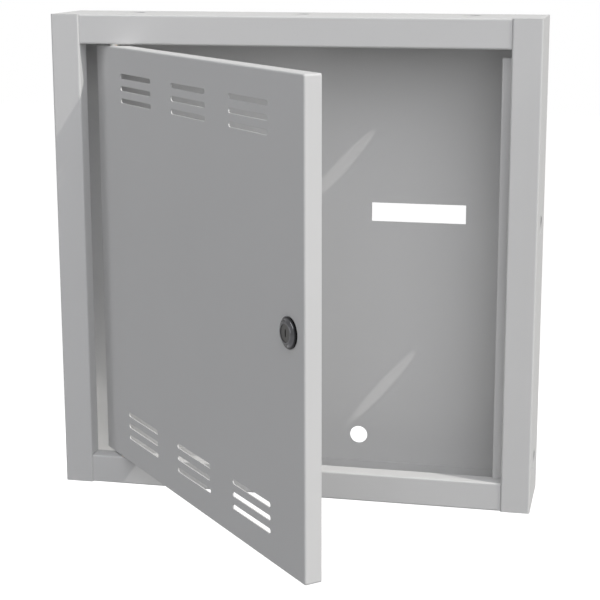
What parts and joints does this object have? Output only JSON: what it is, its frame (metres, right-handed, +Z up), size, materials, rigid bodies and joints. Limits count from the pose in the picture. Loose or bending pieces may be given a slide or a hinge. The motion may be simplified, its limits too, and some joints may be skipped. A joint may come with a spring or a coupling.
{
  "type": "wall-mounted utility cabinet",
  "caption": "Shallow square sheet-steel utility cabinet for a wall, with a framed doorway, an inset hinged door with vent slots, a cam lock and cable entries.",
  "frame": {"origin": "centre of the four wall holes, on the back face that lies against the wall", "axes": "+Y into the wall, +X to the right seen from the front, +Z up; the door side faces -Y"},
  "size_m": [0.5, 0.3858, 0.5],
  "materials": {
    "powder_coat": "light grey satin powder coat",
    "zinc_steel": "zinc plated",
    "lock_chrome": "polished dark nickel on a die-cast housing",
    "lock_plug_metal": "scuffed dark nickel on a die-cast plug",
    "nylon": "moulded natural nylon"
  },
  "bodies": {
    "cabinet": {"cabinet_wrap": "powder_coat", "top_channel": "powder_coat", "bottom_channel": "powder_coat", "upper_hinge_bush": "nylon", "lower_hinge_bush": "nylon"},
    "door": {"door": "powder_coat", "upper_hinge_pin": "zinc_steel", "lower_hinge_pin": "zinc_steel", "upper_pin_clip": "zinc_steel", "lower_pin_clip": "zinc_steel", "lock_housing": "lock_chrome", "lock_tooth_washer": "zinc_steel", "lock_nut": "zinc_steel"},
    "lock_rotor": {"lock_plug": "lock_plug_metal", "stop_washer": "zinc_steel", "lock_cam": "zinc_steel", "cam_spring_washer": "zinc_steel", "cam_screw": "zinc_steel"}
  },
  "joints": [
    {"name": "door_hinge", "type": "hinge", "parent": "cabinet", "child": "door", "pos_m": [-0.1835, -0.0835, 0], "axis": [0, 0, -1], "range_deg": [-48, 102]},
    {"name": "lock_turn", "type": "hinge", "parent": "door", "child": "lock_rotor", "pos_m": [0.06326, -0.36727, 0], "axis": [-0.7431, -0.6691, 0], "range_deg": [0, 90]}
  ]
}
